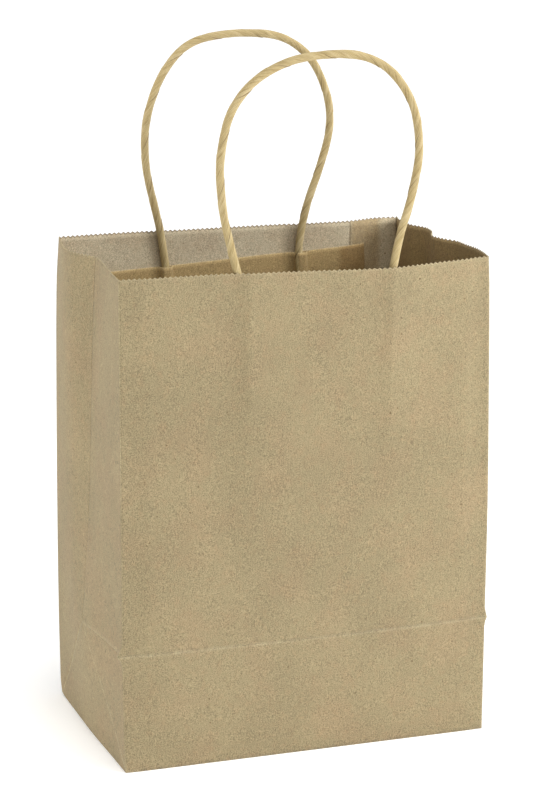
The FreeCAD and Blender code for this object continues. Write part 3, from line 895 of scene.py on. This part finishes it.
def twisted_cord_tree():
    """Lays a pleated section along a curve and turns it as it goes."""
    tree = bpy.data.node_groups.new("twisted_cord", "GeometryNodeTree")
    face = tree.interface
    face.new_socket("Line", in_out="INPUT", socket_type="NodeSocketGeometry")
    for name in ("Cord diameter", "Twist pitch", "Pleat depth", "Ribbon edge", "Pleats"):
        face.new_socket(name, in_out="INPUT", socket_type="NodeSocketFloat")
    face.new_socket("Paper", in_out="INPUT", socket_type="NodeSocketMaterial")
    face.new_socket("Cord", in_out="OUTPUT", socket_type="NodeSocketGeometry")
    given = add(tree, "NodeGroupInput").outputs

    # The section: a circle with pleats, and one step where the ribbon's edge lies on top.
    radius = add(tree, MATH, {0: given["Cord diameter"], 1: 0.5}, operation="MULTIPLY")
    circle = add(tree, "GeometryNodeCurvePrimitiveCircle", {"Resolution": 104, "Radius": radius})
    round_it = add(tree, "GeometryNodeSplineParameter").outputs["Factor"]
    section = add(tree, "GeometryNodeStoreNamedAttribute",
                  {"Geometry": circle, "Name": "around", "Value": round_it},
                  data_type="FLOAT", domain="POINT")
    wave = add(tree, MATH, {0: round_it, 1: given["Pleats"]}, operation="MULTIPLY")
    wave = add(tree, MATH, {0: wave, 1: math.pi}, operation="MULTIPLY")
    wave = add(tree, MATH, {0: wave}, operation="SINE")
    wave = add(tree, MATH, {0: wave}, operation="ABSOLUTE")
    groove = add(tree, MATH, {0: 1.0, 1: wave}, operation="SUBTRACT")
    groove = add(tree, MATH, {0: groove, 1: 1.6}, operation="POWER")
    groove = add(tree, MATH, {0: groove, 1: given["Pleat depth"]}, operation="MULTIPLY")
    sunk = add(tree, MATH, {0: round_it, 1: given["Ribbon edge"], 2: groove},
               operation="MULTIPLY_ADD")
    inset = add(tree, MATH, {0: sunk, 1: -1.0}, operation="MULTIPLY")
    inwards = add(tree, "ShaderNodeVectorMath",
                  {0: add(tree, "GeometryNodeInputPosition"), "Scale": inset}, operation="SCALE")
    section = add(tree, "GeometryNodeSetPosition", {"Geometry": section, "Offset": inwards})

    # The line: even steps, turned once in each twist pitch, a little thick and thin.
    steps = add(tree, "GeometryNodeResampleCurve",
                {"Curve": given["Line"], "Length": 0.9 * MM}, mode="LENGTH")
    along = add(tree, "GeometryNodeSplineParameter").outputs["Length"]
    marked = add(tree, "GeometryNodeStoreNamedAttribute",
                 {"Geometry": steps, "Name": "along", "Value": along},
                 data_type="FLOAT", domain="POINT")
    uneven = add(tree, NOISE, {"W": along, "Scale": 1 / (16 * MM), "Detail": 2.0},
                 noise_dimensions="1D")
    turns = add(tree, MATH, {0: along, 1: given["Twist pitch"]}, operation="DIVIDE")
    turns = add(tree, MATH, {0: uneven, 1: 0.12, 2: turns}, operation="MULTIPLY_ADD")
    tilt = add(tree, MATH, {0: turns, 1: 2 * math.pi}, operation="MULTIPLY")
    tilted = add(tree, "GeometryNodeSetCurveTilt", {"Curve": marked, "Tilt": tilt})
    swell = add(tree, MATH, {0: uneven, 1: 0.16, 2: 0.92}, operation="MULTIPLY_ADD")
    cord = add(tree, "GeometryNodeCurveToMesh",
               {"Curve": tilted, "Profile Curve": section, "Scale": swell, "Fill Caps": True})
    smooth = add(tree, "GeometryNodeSetShadeSmooth", {"Geometry": cord})
    whole = add(tree, "GeometryNodeRealizeInstances", {"Geometry": smooth})
    named = add(tree, "GeometryNodeSetMaterial", {"Geometry": whole, "Material": given["Paper"]})
    add(tree, "NodeGroupOutput", {0: named})
    return tree


def cord_paper():
    """Unbleached paper ribbon twisted into cord: straw-coloured, with streaks that follow the twist. The pleats and the
    ribbon's edge are painted brown, as painted shade in the grooves and at the step; the crests keep the paler straw."""
    material = bpy.data.materials.new("paper_cord_twisted")
    material.use_nodes = True
    tree = material.node_tree
    shader = tree.nodes["Principled BSDF"]
    around = add(tree, ATTRIBUTE, attribute_name="around").outputs["Fac"]
    along = add(tree, ATTRIBUTE, attribute_name="along").outputs["Fac"]

    # A place on the unrolled cord, drawn out along it so that the streaks follow the twist.
    angle = add(tree, MATH, {0: around, 1: 2 * math.pi}, operation="MULTIPLY")
    right = add(tree, MATH, {0: angle}, operation="COSINE")
    right = add(tree, MATH, {0: right, 1: CORD / 2}, operation="MULTIPLY")
    up = add(tree, MATH, {0: angle}, operation="SINE")
    up = add(tree, MATH, {0: up, 1: CORD / 2}, operation="MULTIPLY")
    drawn_out = add(tree, MATH, {0: along, 1: 0.06}, operation="MULTIPLY")
    place = add(tree, "ShaderNodeCombineXYZ", {"X": right, "Y": up, "Z": drawn_out})

    # Broad bands of 1.7 mm, streaks of 0.55 mm, painted shade in the pleats and at the ribbon's edge, then specks.
    broad = add(tree, NOISE, {"Vector": place, "Scale": 1 / (1.7 * MM), "Detail": 2.0})
    broad = add(tree, RAMP, {0: broad, 1: 0.35, 2: 0.7}, interpolation_type=SMOOTH)
    streak = add(tree, NOISE, {"Vector": place, "Scale": 1 / (0.55 * MM), "Detail": 3.0,
                               "Roughness": 0.6})
    streaks = add(tree, RAMP, {0: streak, 1: 0.45, 2: 0.75}, interpolation_type=SMOOTH)
    wave = add(tree, MATH, {0: around, 1: PLEATS * math.pi}, operation="MULTIPLY")
    wave = add(tree, MATH, {0: wave}, operation="SINE")
    wave = add(tree, MATH, {0: wave}, operation="ABSOLUTE")
    pleat_shade = add(tree, RAMP, {0: wave, 1: 0.36, 2: 0.02, 4: 0.62}, interpolation_type=SMOOTH)
    # Painted shade: a dark line just past the step of the ribbon's edge.
    edge = add(tree, RAMP, {0: around, 1: 0.035, 2: 0.012, 4: 0.70}, interpolation_type=SMOOTH)
    body = add(tree, "ShaderNodeTexCoord").outputs["Object"]
    speck = add(tree, NOISE, {"Vector": body, "Scale": 1 / (1.1 * MM), "Detail": 2.0})
    speck = add(tree, RAMP, {0: speck, 1: 0.66, 2: 0.74, 4: 0.25}, interpolation_type=SMOOTH)
    colour = add(tree, MIX, {0: broad, 6: linear("bda979"), 7: linear("cdbb8f")},
                 data_type="RGBA")
    for share, tint in ((streaks, "9b8453"), (pleat_shade, "6f5730"), (edge, "5c4526"),
                        (speck, "8d744c")):
        colour = add(tree, MIX, {0: share, 6: colour, 7: linear(tint)}, data_type="RGBA")
    height = add(tree, MATH, {0: streak, 1: 0.12 * MM}, operation="MULTIPLY")
    relief = add(tree, "ShaderNodeBump", {"Height": height, "Strength": 0.7, "Distance": 1.0})
    tree.links.new(colour.outputs[2], shader.inputs["Base Color"])
    tree.links.new(relief.outputs[0], shader.inputs["Normal"])
    shader.inputs["Roughness"].default_value = 0.62
    shader.inputs["Specular IOR Level"].default_value = 0.35
    return material


cord_tree = twisted_cord_tree()
straw_paper = cord_paper()


def paper_cord(name, route, wall, side):
    """One handle: its glued ends stay with the wall, and its loop bends over with the swing."""
    curve, points = cord_line(name + "_line", route)
    piece = bake(name, curve, cord_tree, {
        "Cord diameter": CORD * FULLNESS, "Twist pitch": TWIST_PITCH,
        "Pleat depth": PLEAT_DEPTH, "Ribbon edge": RIBBON_EDGE, "Pleats": float(PLEATS),
        "Paper": straw_paper})
    length = sum(math.dist(a, b) for a, b in zip(points, points[1:]))
    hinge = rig.box(f"{side}_handle")[0].z
    middle = route[0][1]
    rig.blend(piece, wall, f"{side}_handle", start=(0, middle, hinge - 1 * MM),
             end=(0, middle, hinge + 16 * MM))
    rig.replaces(piece, f"{side}_handle", f"{side}_handle_left_end", f"{side}_handle_right_end")
    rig.slot(piece, "twisted_paper_cord")
    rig.cord(piece, exit=points[0], length=length, diameter=CORD, far_end="object",
            stiffness="stiff", lay="loose", path=points)


paper_cord("back_paper_cord", BACK_CORD, "back_wall", "back")
paper_cord("front_paper_cord", FRONT_CORD, "front_wall", "front")


# ---------------------------------------------------------------- floor and light
# A plain white sweep under soft studio light: a dim even sky, a soft box near the right
# front, a low one at the left, and weak even light from the front and overhead.
def plain_floor():
    size = 30.0
    mesh = bpy.data.meshes.new("floor")
    mesh.from_pydata([(-size, -size, 0), (size, -size, 0), (size, size, 0), (-size, size, 0)],
                     [], [(0, 1, 2, 3)])
    floor = bpy.data.objects.new("floor", mesh)
    bpy.context.scene.collection.objects.link(floor)
    material = bpy.data.materials.new("studio_paper_white")
    material.use_nodes = True
    shader = material.node_tree.nodes["Principled BSDF"]
    shader.inputs["Base Color"].default_value = linear("fbfbfa")
    shader.inputs["Roughness"].default_value = 0.9
    shader.inputs["Specular IOR Level"].default_value = 0.1
    shader.inputs["Emission Color"].default_value = (1.0, 1.0, 1.0, 1.0)
    shader.inputs["Emission Strength"].default_value = 0.20
    mesh.materials.append(material)
    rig.stage(floor)


def studio_light(name, azimuth, elevation, softness, strength):
    """Even light from far off; azimuth 0 is from the front, and grows to the right."""
    data = bpy.data.lights.new(name, "SUN")
    data.angle = math.radians(softness)
    data.energy = strength
    light = bpy.data.objects.new(name, data)
    light.rotation_euler = (math.radians(90 - elevation), 0.0, math.radians(azimuth))
    bpy.context.scene.collection.objects.link(light)


def soft_box(name, place, target, size, power, colour):
    """A square lamp close by, which fades across the object."""
    data = bpy.data.lights.new(name, "AREA")
    data.shape = "SQUARE"
    data.size = size
    data.energy = power
    data.color = colour
    light = bpy.data.objects.new(name, data)
    light.location = place
    step = [b - a for a, b in zip(place, target)]
    flat = math.hypot(step[0], step[1])
    light.rotation_euler = (math.atan2(flat, -step[2]), 0.0, math.atan2(-step[0], step[1]))
    light.visible_camera = False
    bpy.context.scene.collection.objects.link(light)


plain_floor()
soft_box("key", place=(0.70, -0.60, 0.62), target=(0.03, 0.0, 0.17), size=0.42, power=6.4,
         colour=(1.0, 1.0, 1.0))
soft_box("left_fill", place=(-1.0, 0.02, 0.16), target=(-0.1, 0.0, 0.11), size=0.45, power=4.0,
         colour=(1.0, 0.95, 0.88))
studio_light("front", azimuth=8, elevation=26, softness=40, strength=0.56)
studio_light("overhead", azimuth=0, elevation=84, softness=24, strength=1.8)
world = bpy.data.worlds.new("studio_sky")
world.use_nodes = True
world.node_tree.nodes["Background"].inputs["Color"].default_value = (1.0, 1.0, 1.0, 1.0)
world.node_tree.nodes["Background"].inputs["Strength"].default_value = 0.30
bpy.context.scene.world = world
bpy.context.scene.view_settings.view_transform = "Standard"

with open("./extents.json", "w") as sizes:
    json.dump({"cad": [list(corner) for corner in cad_bounds],
               "visual": [list(corner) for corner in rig.bounds()]}, sizes)
